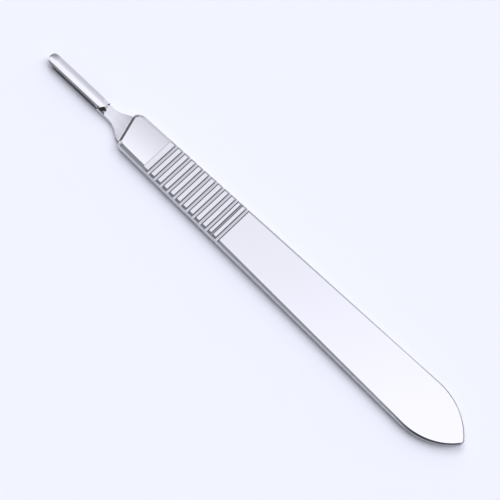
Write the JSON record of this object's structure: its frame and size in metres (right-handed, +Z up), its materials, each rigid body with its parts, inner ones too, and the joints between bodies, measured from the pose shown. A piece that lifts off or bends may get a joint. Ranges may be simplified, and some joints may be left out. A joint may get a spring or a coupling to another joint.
{
  "type": "scalpel handle",
  "caption": "Flat steel scalpel handle with a grooved grip, bevelled edges and a narrow nib whose side slots hold a push-on blade.",
  "frame": {"origin": "centre of the handle's box on X and Y, on its flat underside", "axes": "+X along the handle towards the blade end, +Z up through its thickness, out of the face that carries the boss"},
  "size_m": [0.125, 0.0134, 0.0025],
  "materials": {
    "steel": "polished stainless steel with a fine satin grain"
  },
  "bodies": {
    "root": {"scalpel_handle": "steel"}
  },
  "joints": []
}
